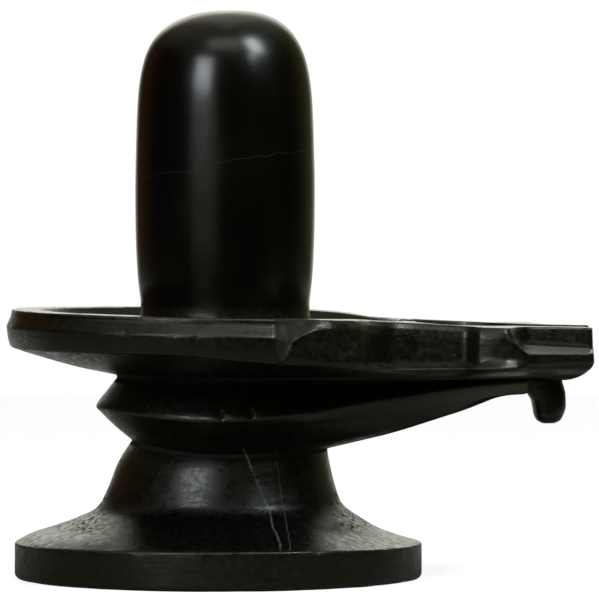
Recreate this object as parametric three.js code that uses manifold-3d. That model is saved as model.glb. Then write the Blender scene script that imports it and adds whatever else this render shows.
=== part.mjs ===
// A shiva lingam carved from one black stone: a domed shaft standing in a round basin with a
// carved spout, over a hull-shaped moulding that ends in a hanging knob, on a flared pedestal
// and a thick round foot. Millimetres, +Z up, +X towards the spout. The origin is the middle of
// the foot's underside.
//
// The stone is one skin. It is a stack of closed levels, each with one point for every station
// around the stone, which starts in the middle of the foot's underside and ends at the top of
// the dome. The knob is joined to it at the end.

import * as THREE from 'three';
import { mergeVertices } from 'three/addons/utils/BufferGeometryUtils.js';
import Module from 'manifold-3d';

// ---- driving dimensions -----------------------------------------------------------------

const HEIGHT = 200;

const FOOT = { radius: 71.9, arris: 0.9, edgeRound: 0.5 };

// The pedestal's outline from the foot up: centre, radius and height.
const PEDESTAL = [
  [0, 67.3, 14.8], [0.4, 56.3, 18.4], [0.9, 44.9, 23.1],
  [1, 42.2, 26.6], [1.3, 39.7, 32.8], [1.8, 37.2, 41.3],
];

const NECK = { centre: 4, radius: 35, lip: 0.5 };

const HULL = { centre: 3.9, radius: 47.6, nose: 111, edgeRound: 1.2, keelRadius: 46, keelNose: 109.5 };

const GROOVE = { centre: 2.4, radius: 38, nose: 114, width: 1.2 };

const PLATE = { centre: 2.4, radius: 77.4, reach: 131.5, crown: 1.6, topRound: 0.8 };

const BASIN = { centre: 1.2, radius: 64, depth: 5.3 };

const TROUGH = { root: 70.5, rootHalfWidth: 20, tip: 127, depth: 5, wall: 2, mouthShare: 0.62, sill: 3 };

const SHAFT = { centre: 2.4, lean: 1.6, domeStart: 150, sharpness: 4.35, fullness: 2.4 };

// The fillet at the shaft's foot, from the basin's floor up: radius and depth below the rim.
const SHAFT_FOOT = [[33.2, 4.9], [30.6, 3.3], [29.9, 1.6]];

const KNOB = { halfWidth: 7.6, round: 1.6 };

const NOTCH = { foot: 79, height: 15, left: [21.4, 19.6], right: [22.8, 28.6], depth: [0.9, 3.2] };

const CORNER_ANGLE = THREE.MathUtils.degToRad(52);
const ROOT_ANGLE = THREE.MathUtils.degToRad(17);
const TIP_ANGLE = THREE.MathUtils.degToRad(12);

// The stations round the basin, with more of them at the notch.
const ARC_STATIONS = 48;
const NOTCH_ANGLES = [282.2, 283.6, 285.4, 287, 288.4, 289.4].map(THREE.MathUtils.degToRad);

// How far along +X the carving changes on the near (-Y) side of the spout: the corner where the
// round plate ends, the trough's root, the scoop, the lobe, and the narrower block at the tip.
const SPOUT_STOPS = [51, 53, 57.5, 62, 70, 72, 78, 86, 89, 92, 97, 102, 104, 106, 109.4, 120];
const ROOT_STOP = 70;

// How far across the spout's end its stations are. The first two lie in the trough's mouth.
const END_ACROSS = [0.3, 0.58, 0.66, 1];

// The far side is carved a little further out than the near side, and its rim dips a little where
// it runs into the spout.
const FAR_SHIFT = 11;
const FAR_DIP = { x: 57, spread: 13, depth: 1.1 };

// ---- curves along the stone -------------------------------------------------------------

const { clamp, lerp, smoothstep } = THREE.MathUtils;

// A function of x that runs in straight stretches through the given points.
function along(points) {
  return (x) => {
    const last = points.length - 1;
    if (x <= points[0][0]) return points[0][1];
    if (x >= points[last][0]) return points[last][1];
    const next = points.findIndex((point) => point[0] >= x);
    const [x0, y0] = points[next - 1];
    const [x1, y1] = points[next];
    return y0 + ((y1 - y0) * (x - x0)) / (x1 - x0);
  };
}

// heights, as functions of x
const topHeight = along([[-75, 94.7], [-20, 93.7], [46, 92.4], [63, 90.9], [100, 89.1], [133, 88.4]]);
const stepHeight = along([
  [-75, 92.8], [0, 91.5], [20, 91], [36, 89.6], [60, 88], [86, 86.4], [103.5, 86], [108, 82.6], [133, 81],
]);
const ridgeHeight = along([
  [-75, 88.7], [0, 87.3], [20, 86.8], [36, 85.6], [86, 84.4],
  [101, 84.6], [104, 83.4], [108, 80.2], [133, 79.7],
]);
const wallRise = along([[36, 3.4], [62, 2.2], [88, 2.4], [95, 4.4], [103, 4.2], [110, 2.4]]);
const underEdgeHeight = along([
  [-75, 81.4], [-17, 81], [7, 78.9], [49, 75.6], [64, 73.4], [108, 74], [133, 74.6],
]);
const grooveHeight = along([[-36, 70.6], [0, 69.6], [60, 69.6], [105, 71.4], [114, 69.6]]);
const hullEdgeHeight = along([[-43, 60.4], [0, 57.5], [30, 60], [60, 63.2], [93, 67.6], [111, 69]]);
const keelHeight = along([
  [-43, 59], [0, 55.8], [30, 57], [60, 58.5], [80, 61], [101, 64.4], [107, 64.8], [112, 64.6],
]);
const neckHeight = along([[-31, 48.8], [-15, 46.4], [0, 45.3], [39, 45.6]]);
const footEdgeHeight = along([[-72, 12.2], [-40, 13.1], [0, 13.4], [40, 13.1], [72, 12]]);

// half widths of the spout, as functions of x on the near side
const lipHalfWidth = along([
  [49.5, 60], [57.5, 51], [62, 43], [70, 38], [84, 37.5],
  [92, 42], [97, 44], [104, 42], [109, 36.5], [131, 24.5],
]);
const wallHalfWidth = along([
  [49.5, 61], [51.3, 58], [57.5, 42], [62, 36], [70, 34], [83, 34],
  [88, 35.6], [92, 39.6], [97, 41], [101.5, 40.2], [107.5, 38], [131, 26],
]);
const blockHalfWidth = along([
  [49.5, 61], [51.3, 58], [57.5, 42], [62, 36], [70, 34], [83, 34], [88, 35.6],
  [92, 39.4], [97, 40.6], [102, 39.4], [106, 28], [109.4, 22.6], [131, 18.4],
]);
const troughHalfWidth = along([
  [70.5, 20], [79, 29.5], [84, 29], [89, 24], [100, 17], [112, 12.5], [127, 11.2],
]);
const hullHalfWidth = along([[32, 37], [46, 29.5], [62, 21.5], [80, 14], [98, 8.5], [111, 5.5]]);
const keelHalfWidth = along([[32, 36], [46, 25.5], [62, 15.5], [80, 8.5], [104, 4]]);
const grooveHalfWidth = along([[25, 30], [46, 23], [62, 17], [80, 11], [98, 6.5], [114, 4.5]]);

// the shaft's radius below its dome, as a function of height
const shaftRadius = along([[96.8, 29.75], [107, 30.9], [122, 31.55], [138, 31.7], [160, 31.2], [180, 30.6]]);

// ---- stations around the stone ----------------------------------------------------------

// Each station has its angle on the lower round levels, and its angle on the basin and the shaft.
// Those along the spout's sides also have how far out they are, how far on the way to the
// trough's root, and how far from there to its mouth (each 0 to 1). Those at the spout's end have
// how far across they are (-1 to 1).
function makeStations() {
  const [first, last] = [SPOUT_STOPS[0], PLATE.reach];
  const end = (across) => {
    const angle = TIP_ANGLE * across;
    return { across, angle, basinAngle: angle };
  };
  const side = (stop, sign) => {
    const out = (stop - first) / (last - first);
    const toRoot = Math.min(1, (stop - first) / (ROOT_STOP - first));
    const pastRoot = Math.max(0, (stop - ROOT_STOP) / (last - ROOT_STOP));
    const angle = sign * lerp(CORNER_ANGLE, TIP_ANGLE, out);
    const basinAngle = sign * lerp(lerp(CORNER_ANGLE, ROOT_ANGLE, toRoot), TIP_ANGLE, pastRoot);
    return { out, toRoot, pastRoot, sign, angle, basinAngle };
  };
  const sweep = 2 * (Math.PI - CORNER_ANGLE);
  const arc = [...NOTCH_ANGLES];
  for (let step = 1; step < ARC_STATIONS; step++) arc.push(CORNER_ANGLE + (sweep * step) / ARC_STATIONS);
  arc.sort((a, b) => a - b);
  return [
    end(0),
    ...END_ACROSS.map((across) => end(across)),
    ...SPOUT_STOPS.toReversed().map((stop) => side(stop, 1)),
    ...arc.map((angle) => ({ angle, basinAngle: angle })),
    ...SPOUT_STOPS.map((stop) => side(stop, -1)),
    ...END_ACROSS.toReversed().map((across) => end(-across)),
  ];
}

const stations = makeStations();

// A round level at a height that is a number or a function of x and the station.
function round(centre, radius, height, turn = 'angle') {
  return stations.map((station) => {
    const x = centre + radius * Math.cos(station[turn]);
    const y = radius * Math.sin(station[turn]);
    return new THREE.Vector3(x, y, typeof height === 'number' ? height : height(x, station));
  });
}

// A level that is round behind the spout, follows the spout's half width along its sides and
// closes across its end.
function spouted({ centre, radius, reach, crown = 0, halfWidth, height, shift = 0 }) {
  const corner = centre + radius * Math.cos(CORNER_ANGLE);
  const behind = round(centre, radius, height);
  return stations.map((station, k) => {
    const point = (x, y) => new THREE.Vector3(x, y, height(x, station));
    if (station.across !== undefined) {
      const bow = crown * (1 - station.across ** 2);
      return point(reach + bow, station.across * halfWidth(reach));
    }
    if (station.out === undefined) return behind[k];
    const x = lerp(corner, reach, station.out);
    const moved = station.sign > 0 ? x + shift * Math.sin(Math.PI * station.out) : x;
    return point(moved, station.sign * halfWidth(x));
  });
}

// A level part of the way from one to another, lowered by a sag that is nothing at both. The
// spout sags more than the round part.
function partWay(from, to, part, roundSag, spoutSag) {
  return stations.map((station, k) => {
    const point = from[k].clone().lerp(to[k], part);
    const out = station.across === undefined ? station.out ?? 0 : 1;
    point.z -= 4 * lerp(roundSag, spoutSag, out) * part * (1 - part);
    return point;
  });
}

// ---- the levels of each sub-part, from the bottom up ------------------------------------

function footLevels() {
  const { radius, arris, edgeRound } = FOOT;
  return [
    round(0, radius - arris, 0),
    round(0, radius, arris),
    round(0, radius, (x) => footEdgeHeight(x) - edgeRound),
    round(0, radius - edgeRound, footEdgeHeight),
  ];
}

function pedestalLevels() {
  return [
    ...PEDESTAL.map(([centre, radius, height]) => round(centre, radius, height)),
    round(NECK.centre, NECK.radius - NECK.lip, (x) => neckHeight(x) - NECK.lip),
  ];
}

function hullLevels() {
  const { centre, radius, nose, edgeRound, keelRadius, keelNose } = HULL;
  const hullEdge = (inset, rise) => spouted({
    centre, radius: radius - inset, reach: nose - inset,
    halfWidth: (x) => hullHalfWidth(x) - inset, height: (x) => hullEdgeHeight(x) + rise,
  });
  const neck = round(NECK.centre, NECK.radius, neckHeight);
  const keel = spouted({
    centre, radius: keelRadius, reach: keelNose, halfWidth: keelHalfWidth, height: keelHeight,
  });
  return [
    neck,
    partWay(neck, keel, 0.35, 0.4, 1.6),
    partWay(neck, keel, 0.7, 0.4, 0.7),
    keel,
    hullEdge(0.4 * edgeRound, -0.6 * edgeRound),
    hullEdge(0, 0),
    hullEdge(edgeRound, 1.4 * edgeRound),
  ];
}

function grooveLevels() {
  const { centre, radius, nose, width } = GROOVE;
  return [0, width].map((rise) => spouted({
    centre, radius: radius + rise / 2, reach: nose,
    halfWidth: (x) => grooveHalfWidth(x) + rise / 2, height: (x) => grooveHeight(x) + rise,
  }));
}

// Cuts the rough notch in the near side of the plate's rim. It deepens to its steep right side.
function notched(level) {
  const between = ([low, high], up) => lerp(low, high, up);
  return level.map((point) => {
    if (point.y > 0) return point;
    const up = clamp((point.z - NOTCH.foot) / NOTCH.height, 0, 1);
    const [left, right] = [between(NOTCH.left, up), between(NOTCH.right, up)];
    const across = clamp((point.x - left) / (right - left), 0, 1);
    const floor = 0.3 * smoothstep(across, 0, 0.1) + 0.7 * across;
    const cut = between(NOTCH.depth, up) * floor * (1 - smoothstep(across, 0.84, 1));
    return point.clone().setY(point.y + cut);
  });
}

// How far a level of the plate is pulled in: at the rim, the scoop, the tip's sides and its end.
function pullIn(rim, scoop, tip = scoop, end = tip) {
  return (x, station) => {
    if (station.across !== undefined) return end;
    return lerp(rim, lerp(scoop, tip, smoothstep(x, 94, 103)), smoothstep(x, 22, 36));
  };
}

// The plate's outline at one height, pulled in square to itself.
function plateLevel(halfWidth, height, pull) {
  const { centre, radius, reach, crown } = PLATE;
  const outline = spouted({ centre, radius, reach, crown, halfWidth, height, shift: FAR_SHIFT });
  return outline.map((point, k) => {
    const way = outline[(k + 1) % outline.length].clone().sub(outline.at(k - 1)).setZ(0).normalize();
    const by = pull(point.x, stations[k]);
    const x = point.x - by * way.y;
    return new THREE.Vector3(x, point.y + by * way.x, height(x, stations[k]));
  });
}

// The trough is open in the middle of the spout's end, and so is the sill at its root.
const isOpen = (station) => Math.abs(station.across ?? 1) < TROUGH.mouthShare;
const mouth = (x, station) => topHeight(x) - (isOpen(station) ? TROUGH.depth : 0);
const sill = (x, station) => topHeight(x) - (isOpen(station) ? TROUGH.sill : 0);

function plateLevels(groove) {
  const under = plateLevel(lipHalfWidth, underEdgeHeight, pullIn(1.4, 0.8));
  const belowMouth = (x, station) => mouth(x, station) - PLATE.topRound;
  return [
    partWay(groove, under, 0.4, 1, 2.8),
    partWay(groove, under, 0.75, 0.8, 3.4),
    under,
    plateLevel(lipHalfWidth, (x) => underEdgeHeight(x) + 1.4, pullIn(0.9, 0)),
    notched(plateLevel(wallHalfWidth, (x) => underEdgeHeight(x) + wallRise(x), pullIn(0.4, 0))),
    notched(plateLevel(wallHalfWidth, ridgeHeight, pullIn(0, 0.5))),
    notched(plateLevel(blockHalfWidth, stepHeight, pullIn(2.3, 0.8, 0.4, 0.2))),
    notched(plateLevel(blockHalfWidth, belowMouth, pullIn(2.5, 1.8, 1.2, 0.2))),
    notched(plateLevel(blockHalfWidth, mouth, pullIn(3, 2.5, 1.9, 0.6))),
  ];
}

// The rim's top between its outer edge and the basin. Past the trough's root these levels run
// round the trough's outer edge, down to its floor and up again at its root.
function troughLevels(topEdge) {
  const { root, rootHalfWidth, depth, wall, tip, mouthShare } = TROUGH;
  const basinEdge = round(BASIN.centre, BASIN.radius, topHeight, 'basinAngle');
  const floor = (x, station) => topHeight(x) - depth * smoothstep(station.pastRoot ?? 1, 0, 0.04);
  const level = (share, height, place) => stations.map((station, k) => {
    const { toRoot = 0, pastRoot = 1 } = station;
    if (station.across !== undefined || station.pastRoot > 0) {
      const side = station.sign ?? Math.sign(station.across);
      const [x, halfWidth] = place(pastRoot, Math.abs(station.across ?? 1), station);
      return new THREE.Vector3(x, side * halfWidth, height(x, station));
    }
    const corner = new THREE.Vector3(root, (station.sign ?? 0) * rootHalfWidth, 0);
    const point = topEdge[k].clone().lerp(basinEdge[k], share).lerp(corner, smoothstep(toRoot, 0.55, 1));
    return point.setZ(topHeight(point.x));
  });
  const outer = (inset) => (out, across, station) => {
    const x = lerp(root + inset, tip - 0.2 * inset, out);
    const within = 0.96 * Math.min(1, across / mouthShare) + 0.04 * across;
    const shift = station.sign > 0 ? FAR_SHIFT * Math.sin(Math.PI * station.out) : 0;
    return [x + shift * smoothstep(out, 0, 0.12), (troughHalfWidth(x) - inset) * within];
  };
  const inner = (inset) => (out, across) => {
    const halfWidth = lerp(1, 0.7, out) * (rootHalfWidth - inset);
    return [root + inset - 0.004 * halfWidth ** 2, across * halfWidth];
  };
  return [
    level(0.25, mouth, outer(0)),
    level(0.45, floor, outer(wall)),
    level(0.65, floor, inner(wall)),
    level(0.85, sill, inner(0)),
  ];
}

function basinLevels() {
  const { centre, radius, depth } = BASIN;
  const level = (middle, size, drop) => round(
    middle, size, (x, station) => Math.min(sill(x, station), topHeight(x) - drop), 'basinAngle',
  );
  return [
    level(centre, radius, 0),
    level(centre, radius - 2.2, 2.4),
    level(centre, radius - 5.4, depth),
    level(centre, radius - 16.5, depth),
    ...SHAFT_FOOT.map(([size, drop]) => level(SHAFT.centre, size, drop)),
  ];
}

// The shaft swells a little in the middle and closes in a full dome, which leans a little.
function shaftLevels() {
  const { centre, lean, domeStart, sharpness, fullness } = SHAFT;
  const heights = [97.6, 107, 122, 138, 152, 164, 174, 181.5, 187.5, 192, 195.5, 197.9, 199.4];
  return heights.map((height) => {
    const rise = Math.max(0, (height - domeStart) / (HEIGHT - domeStart));
    const radius = shaftRadius(height) * (1 - rise ** sharpness) ** (1 / fullness);
    const leaning = lean * Math.max(0, (height - 186) / (HEIGHT - 186)) ** 2;
    return round(centre + leaning, radius, height, 'basinAngle');
  });
}

// Lowers the far rim where it runs into the spout.
function dipFarRim(level) {
  return level.map((point) => {
    const near = Math.exp(-(((point.x - FAR_DIP.x) / FAR_DIP.spread) ** 2));
    const share = near * smoothstep(point.y, 18, 46) * clamp((point.z - 80) / 10, 0, 1);
    return point.clone().setZ(point.z - FAR_DIP.depth * share);
  });
}

// ---- making the solid -------------------------------------------------------------------

// Skins the levels and closes them with a point at the bottom and a point at the top.
function skin(levels, bottom, top) {
  const count = stations.length;
  const positions = [bottom, ...levels.flat(), top].flatMap((point) => point.toArray());
  const at = (level, station) => 1 + level * count + (station % count);
  const peak = 1 + levels.length * count;
  const index = [];
  for (let station = 0; station < count; station++) {
    index.push(0, at(0, station + 1), at(0, station));
    for (let level = 0; level + 1 < levels.length; level++) {
      const [a, b] = [at(level, station), at(level, station + 1)];
      const [c, d] = [at(level + 1, station + 1), at(level + 1, station)];
      index.push(a, b, c, a, c, d);
    }
    index.push(at(levels.length - 1, station), at(levels.length - 1, station + 1), peak);
  }
  const geometry = new THREE.BufferGeometry();
  geometry.setAttribute('position', new THREE.Float32BufferAttribute(positions, 3));
  geometry.setIndex(index);
  return geometry;
}

// The knob that hangs under the end of the hull, drawn in the XZ plane.
function knobGeometry() {
  const { halfWidth, round: bevel } = KNOB;
  const shape = new THREE.Shape();
  shape.moveTo(110.8, 71.5);
  shape.bezierCurveTo(111.2, 67, 113.2, 63, 112.9, 58.4);
  shape.bezierCurveTo(113.1, 56.6, 114.5, 56, 116, 56);
  shape.lineTo(118, 56);
  shape.bezierCurveTo(120, 56, 121.4, 60, 121.3, 62.5);
  shape.bezierCurveTo(121.2, 66, 120.4, 68.5, 120, 71.5);
  const geometry = new THREE.ExtrudeGeometry(shape, {
    depth: 2 * (halfWidth - bevel), curveSegments: 5,
    bevelThickness: bevel, bevelSize: bevel, bevelSegments: 2,
  });
  geometry.rotateX(Math.PI / 2);
  geometry.translate(0, halfWidth - bevel, 0);
  return geometry;
}

const wasm = await Module();
wasm.setup();

function toSolid(geometry) {
  const bare = geometry.clone();
  bare.deleteAttribute('normal');
  bare.deleteAttribute('uv');
  const merged = mergeVertices(bare, 1e-4);
  return new wasm.Manifold(new wasm.Mesh({
    numProp: 3,
    vertProperties: new Float32Array(merged.attributes.position.array),
    triVerts: new Uint32Array(merged.index.array),
  }));
}

function toGeometry(solid) {
  const { vertProperties, triVerts } = solid.getMesh();
  const geometry = new THREE.BufferGeometry();
  geometry.setAttribute('position', new THREE.BufferAttribute(vertProperties, 3));
  geometry.setIndex(new THREE.BufferAttribute(triVerts, 1));
  geometry.computeVertexNormals();
  return geometry;
}

const groove = grooveLevels();
const plate = plateLevels(groove[1]);
const levels = [
  ...footLevels(),
  ...pedestalLevels(),
  ...hullLevels(),
  ...groove,
  ...plate,
  ...troughLevels(plate.at(-1)),
  ...basinLevels(),
  ...shaftLevels(),
];
const stone = skin(
  levels.map(dipFarRim),
  new THREE.Vector3(0, 0, 0),
  new THREE.Vector3(SHAFT.centre + SHAFT.lean, 0, HEIGHT),
);

const blackStone = new THREE.MeshStandardMaterial({ color: 0x24251f, roughness: 0.32, metalness: 0 });

const lingam = new THREE.Mesh(toGeometry(toSolid(stone).add(toSolid(knobGeometry()))), blackStone);
lingam.name = 'shiva_lingam';

const group = new THREE.Group();
group.add(lingam);

export default group;
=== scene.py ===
"""A shiva lingam carved from one black stone, with its basin, spout, moulding, pedestal and foot.

The stone is one skin of closed levels, from the middle of the foot's underside to the top of the
dome, with the knob joined to it. Its sizes are in millimetres until a mesh is made from them,
and +X runs towards the spout, -Y to the camera. The stone replaces the faceted solid.
"""

import math

import bmesh
import bpy
import numpy as np
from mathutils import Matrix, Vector


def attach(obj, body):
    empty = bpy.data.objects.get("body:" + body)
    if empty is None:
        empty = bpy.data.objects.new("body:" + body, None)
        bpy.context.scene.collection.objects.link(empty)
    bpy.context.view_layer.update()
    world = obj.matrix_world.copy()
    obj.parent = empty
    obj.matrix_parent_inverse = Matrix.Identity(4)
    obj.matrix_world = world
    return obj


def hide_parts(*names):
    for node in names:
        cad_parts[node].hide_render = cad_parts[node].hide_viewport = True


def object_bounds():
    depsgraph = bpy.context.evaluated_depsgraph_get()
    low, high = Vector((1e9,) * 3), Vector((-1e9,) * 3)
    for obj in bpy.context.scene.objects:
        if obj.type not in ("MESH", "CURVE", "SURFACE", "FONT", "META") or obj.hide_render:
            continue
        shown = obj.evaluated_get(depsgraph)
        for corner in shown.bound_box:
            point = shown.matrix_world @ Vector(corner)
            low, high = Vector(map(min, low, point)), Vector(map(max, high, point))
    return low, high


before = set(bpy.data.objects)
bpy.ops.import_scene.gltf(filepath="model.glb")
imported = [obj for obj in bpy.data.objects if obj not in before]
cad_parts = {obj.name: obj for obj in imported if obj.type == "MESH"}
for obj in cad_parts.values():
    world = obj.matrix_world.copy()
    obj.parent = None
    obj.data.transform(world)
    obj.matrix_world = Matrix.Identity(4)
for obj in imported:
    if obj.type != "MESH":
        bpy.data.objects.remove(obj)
solid_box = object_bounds()

MM = 0.001

# ---- sizes of the carving -----------------------------------------------------------------

HEIGHT = 200.0
FOOT_RADIUS = 71.9
GROOVE_WIDTH = 1.2
PLATE_CENTRE, PLATE_RADIUS, PLATE_REACH, TIP_CROWN, SPOUT_START = 2.4, 77.2, 131.3, 1.2, 51.0
BASIN_CENTRE, BASIN_RADIUS, BASIN_DEPTH = 1.2, 64.0, 5.3
SHAFT_CENTRE, SHAFT_LEAN, LEAN_START = 2.4, 1.6, 186.0
SHAFT_FOOT, DOME_START, DOME_SHARPNESS, DOME_FULLNESS = 97.6, 150.0, 4.35, 2.4
TROUGH_ROOT, TROUGH_ROOT_HALF, TROUGH_TIP, TROUGH_DEPTH, SILL_DEPTH = 70.5, 20.0, 127.0, 5.0, 3.0
CORNER_ANGLE = math.radians(52)
ROOT_ANGLE = math.radians(17)
TIP_ANGLE = math.radians(12)

# The open mouth's share of the spout's end, and the trough root's place along the spout's side.
MOUTH_SHARE, ROOT_SHARE = 0.62, 0.24

# How far the far side's carving is shifted along the spout, and how its rim dips beside the spout.
FAR_SHIFT = 11.0
FAR_DIP, FAR_DIP_X, FAR_DIP_LENGTH = 1.1, 57.0, 13.0

# The rough notch in the near rim: where it is round the plate, in degrees, its foot and height,
# its left side and its depth at foot and top, the share of the depth that its left side drops at
# once, and the flutes across it.
NOTCH_ANGLE, NOTCH_FOOT, NOTCH_HEIGHT = 286, 79.0, 15.0
NOTCH_LEFT, NOTCH_DEPTH, NOTCH_DROP = (21.4, 19.6), (0.9, 3.2), 0.3
FLUTES, FLUTE_DEPTH = 2.6, 0.05

# The near rim's corner, which stands as a post: the hollow beside it, and how it leans inwards.
HOLLOW_X, HOLLOW_WIDTH, HOLLOW_DEPTH = 47.2, 1.9, 0.9
POST_LEAN, POST_TURN = 2.0, math.radians(25)

# The knob's lowest height, the height where it is at full width, and its top inside the plate.
KNOB_BOTTOM, KNOB_FULL, KNOB_TOP = 54.4, 58.0, 76.0

# A corner's rounding takes up at most this share of the stretch beside it.
ROUNDING_LIMIT = 0.48

# The radius of a bend that counts as a sharp edge, in metres.
EDGE_RADIUS = 0.003

ARC_STATIONS, SIDE_STATIONS, END_STATIONS, KNOB_STATIONS = 150, 62, 26, 72
SHAFT_RINGS, SHAFT_SAMPLES = 48, 4000


def along(*points):
    """A function that runs through (x, y) points in one smooth curve with no overshoot."""
    xs = np.array([p[0] for p in points], float)
    ys = np.array([p[1] for p in points], float)
    step = np.diff(xs)
    rise = np.diff(ys) / step
    slope = np.zeros(len(xs))
    slope[0], slope[-1] = rise[0], rise[-1]
    same = rise[:-1] * rise[1:] > 0
    mean = np.where(same, 2 * rise[:-1] * rise[1:] / np.where(same, rise[:-1] + rise[1:], 1), 0)
    slope[1:-1] = mean

    def value(x):
        x = np.clip(np.asarray(x, float), xs[0], xs[-1])
        k = np.clip(np.searchsorted(xs, x) - 1, 0, len(step) - 1)
        t = (x - xs[k]) / step[k]
        return (
            ys[k] * (1 + 2 * t) * (1 - t) ** 2
            + slope[k] * step[k] * t * (1 - t) ** 2
            + ys[k + 1] * t * t * (3 - 2 * t)
            + slope[k + 1] * step[k] * t * t * (t - 1)
        )

    return value


def smoothstep(x, low, high):
    t = np.clip((np.asarray(x, float) - low) / (high - low), 0, 1)
    return t * t * (3 - 2 * t)


def lerp(a, b, t):
    return a + (b - a) * t


def hump(x, place, width):
    """A round hump, 1 high at its place."""
    return np.exp(-(((x - place) / width) ** 2))


def crowded(values, density):
    """A run of values, closer together where the density is higher."""
    run = np.cumsum(density)
    run = (run - run[0]) / (run[-1] - run[0])
    return np.interp(np.linspace(0, 1, len(values)), run, values)


# Heights at places along X.
top_height = along((-75, 94.7), (-20, 93.7), (46, 92.4), (63, 90.9), (100, 89.1), (133, 88.4))
under_edge = along(
    (-75, 81.4), (-17, 81), (7, 78.9), (49, 75.6), (64, 73.4), (108, 74), (133, 74.6),
)
groove_height = along((-36, 70.6), (0, 69.6), (60, 69.6), (105, 71.4), (114, 69.6))
ridge_height = along((-43, 60.4), (0, 57.5), (30, 60), (60, 63.2), (93, 67.6), (111, 69))
keel_height = along(
    (-43, 59), (0, 55.8), (30, 57), (60, 58.5), (80, 61), (101, 64.4), (107, 64.8), (112, 64.6),
)
foot_edge = along((-72, 12.2), (-40, 13.1), (0, 13.4), (40, 13.1), (72, 12))
slope_foot = along((-67, 14.8), (20, 14.8), (67, 13.1))
slope_middle = along((-56, 18.4), (10, 18.4), (56, 16.7))
neck_height = along((-31, 48.8), (-15, 46.4), (0, 45.3), (39, 45.6))
rim_ridge = along(
    (-75, 88.7), (0, 87.3), (20, 86.8), (25, 85.4), (32, 88.6), (38, 89.6), (50, 89.2),
    (57, 86.6), (86, 85.4), (101, 85.0), (104, 83.4), (108, 80.2), (133, 79.7),
)
rim_step = along(
    (-75, 92.8), (0, 91.5), (20, 91), (32, 90.9), (50, 90.5), (60, 89.2), (86, 87.8), (101, 87.2),
    (104.5, 85.4), (108, 82.6), (133, 81),
)
wall_rise = along(
    (36, 3.4), (52, 3.0), (62, 2.2), (88, 2.4), (95, 4.4), (103, 4.2), (110, 2.4), (133, 2.4),
)

# How far the round rim's upper bevel leans in.
rim_bevel = along((-64, 1.7), (-30, 2.7), (0, 3.2), (19, 3.9))

# Half widths along the spout and under it.
lip_half = along(
    (49.5, 60), (57.5, 51), (62, 43), (70, 38), (84, 37.5),
    (92, 42), (97, 44), (104, 42), (109, 36.5), (131, 24.5),
)
wall_half = along(
    (49.5, 61), (51.3, 58), (57.5, 42), (62, 36), (70, 34), (86, 34),
    (86.8, 34.8), (91.2, 39.8), (100, 41), (102.5, 40.4), (107.5, 38), (131, 26),
)
block_half = along(
    (49.5, 61), (51.3, 58), (57.5, 42), (62, 36), (70, 34), (86, 34), (86.8, 34.8),
    (91.2, 39.7), (99.5, 40.7), (102, 39.4), (106, 28), (109.4, 22.6), (131, 18.4),
)
trough_half = along((70.5, 20), (79, 29.5), (84, 29), (89, 24), (100, 17), (112, 12.5), (127, 11.2))
ridge_half = along((32, 37), (46, 29.5), (62, 21.5), (80, 14), (98, 8.5), (111, 5.5))
keel_half = along((32, 36), (46, 25.5), (62, 15.5), (80, 8.5), (104, 4))
groove_half = along((25, 30), (46, 23), (62, 17), (80, 11), (98, 6.5), (114, 4.5))


# ---- stations round the stone -------------------------------------------------------------

# How far along +X the carving turns on the spout's side, and over what length.
SIDE_TURNS = [(53, 4), (90, 3.5), (102.5, 4)]


def side_shares():
    """Shares of the way from the spout's corner to its end: closer where the carving turns."""
    even = np.linspace(0, 1, SIDE_STATIONS)
    x = lerp(SPOUT_START, PLATE_REACH, even)
    return crowded(even, 1 + 2 * sum(hump(x, place, width) for place, width in SIDE_TURNS))


def arc_angles():
    """Angles round the basin, closer where the rim is notched."""
    angle = lerp(CORNER_ANGLE, 2 * math.pi - CORNER_ANGLE, np.linspace(0, 1, ARC_STATIONS + 1))
    return crowded(angle, 1 + 3 * hump(np.degrees(angle), NOTCH_ANGLE, 8))[1:-1]


def end_shares():
    """Shares of the way from the middle of the spout's end to its side: closer at the mouth's edge."""
    half = np.linspace(0, 1, END_STATIONS // 2 + 1)
    return crowded(half, 1 + 4 * hump(half, MOUTH_SHARE, 0.07))


def make_stations():
    """Each station's angle, its share of the way along the spout or across its end, and its side."""
    end, side = end_shares(), side_shares()[:-1]
    nan = float("nan")
    rows = [(TIP_ANGLE * across, nan, across, 1) for across in end]
    rows += [(lerp(CORNER_ANGLE, TIP_ANGLE, out), out, nan, 1) for out in side[::-1]]
    rows += [(angle, nan, nan, 0) for angle in arc_angles()]
    rows += [(-lerp(CORNER_ANGLE, TIP_ANGLE, out), out, nan, -1) for out in side]
    rows += [(-TIP_ANGLE * across, nan, -across, -1) for across in end[:0:-1]]
    return np.array(rows).T


ANGLE, OUT, ACROSS, SIGN = make_stations()
IS_SIDE, IS_END = ~np.isnan(OUT), ~np.isnan(ACROSS)
IS_ARC = ~(IS_SIDE | IS_END)
OUTWARD = np.where(IS_END, 1.0, np.where(IS_SIDE, np.nan_to_num(OUT), 0.0))
SIDEWAYS = np.where(IS_END, np.nan_to_num(ACROSS), SIGN)
MOUTH = 1 - smoothstep(np.abs(SIDEWAYS), MOUTH_SHARE - 0.04, MOUTH_SHARE + 0.04)
OPEN = np.where(IS_END, MOUTH, 0.0)

# Round the basin the spout's side stations follow its edge to the trough's root, then the sill.
TO_ROOT = np.clip(OUTWARD / ROOT_SHARE, 0, 1)
ALONG_TROUGH = np.clip((OUTWARD - ROOT_SHARE) / (1 - ROOT_SHARE), 0, 1)
BASIN_TURN = np.where(
    IS_SIDE, SIGN * lerp(lerp(CORNER_ANGLE, ROOT_ANGLE, TO_ROOT), TIP_ANGLE, ALONG_TROUGH), ANGLE,
)


def points(x, y, height):
    """A level's points, where the height is a number or a function of x."""
    z = height(x) if callable(height) else np.full_like(x, height)
    return np.stack([x, y, z], axis=1)


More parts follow.
